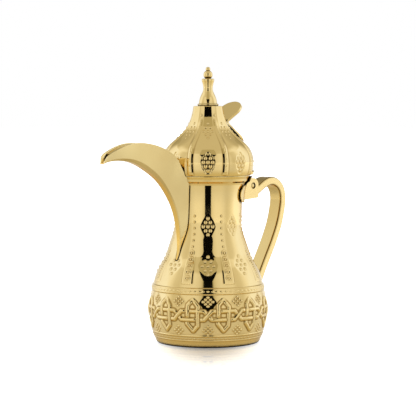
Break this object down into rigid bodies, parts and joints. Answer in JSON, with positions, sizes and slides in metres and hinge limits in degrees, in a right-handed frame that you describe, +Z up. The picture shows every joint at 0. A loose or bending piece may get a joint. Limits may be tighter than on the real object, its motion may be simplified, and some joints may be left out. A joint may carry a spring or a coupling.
{
  "type": "dallah coffee pot",
  "caption": "Waisted metal coffee pot with a crescent spout, a strap handle and a hinged onion-domed lid with a thumb lever.",
  "frame": {"origin": "centre of the base ring's underside, on the pot's axis", "axes": "+Z up along the pot's axis, +X towards the handle, -X towards the spout, XZ the mirror plane"},
  "size_m": [0.2486, 0.118, 0.2749],
  "materials": {
    "gold_polished": "mirror polished gold over steel",
    "gold_satin": "satin gold",
    "steel_inside": "plain steel fastener"
  },
  "bodies": {
    "pot": {"base_ring": "gold_polished", "base_plate": "gold_satin", "lower_body": "gold_polished", "upper_body": "gold_polished", "collar_ring": "gold_polished", "spout_keel": "gold_satin", "spout_cheek_left": "gold_satin", "spout_cheek_right": "gold_satin", "spout_cover": "gold_satin", "handle_bar": "gold_satin", "handle_foot": "gold_satin", "handle_foot_rivets": "gold_polished", "hinge_saddle": "gold_satin", "bracket_cheek_left": "gold_satin", "bracket_cheek_right": "gold_satin", "hinge_pin": "steel_inside", "pin_heads": "gold_polished"},
    "lid": {"lid_dome": "gold_polished", "lid_rim_ring": "gold_polished", "lid_spigot": "gold_satin", "hinge_leaf": "gold_satin", "leaf_rivets": "gold_polished", "thumb_lever": "gold_polished", "thumb_rivets": "gold_polished", "finial_disc": "gold_polished", "finial_vase": "gold_polished", "finial_ball": "gold_polished", "finial_tip": "gold_polished", "finial_rod": "steel_inside", "finial_nut": "steel_inside"}
  },
  "joints": [
    {"name": "lid_hinge", "type": "hinge", "parent": "pot", "child": "lid", "pos_m": [0.0562, 0, 0.155], "axis": [0, 1, 0], "range_deg": [0, 80]}
  ]
}
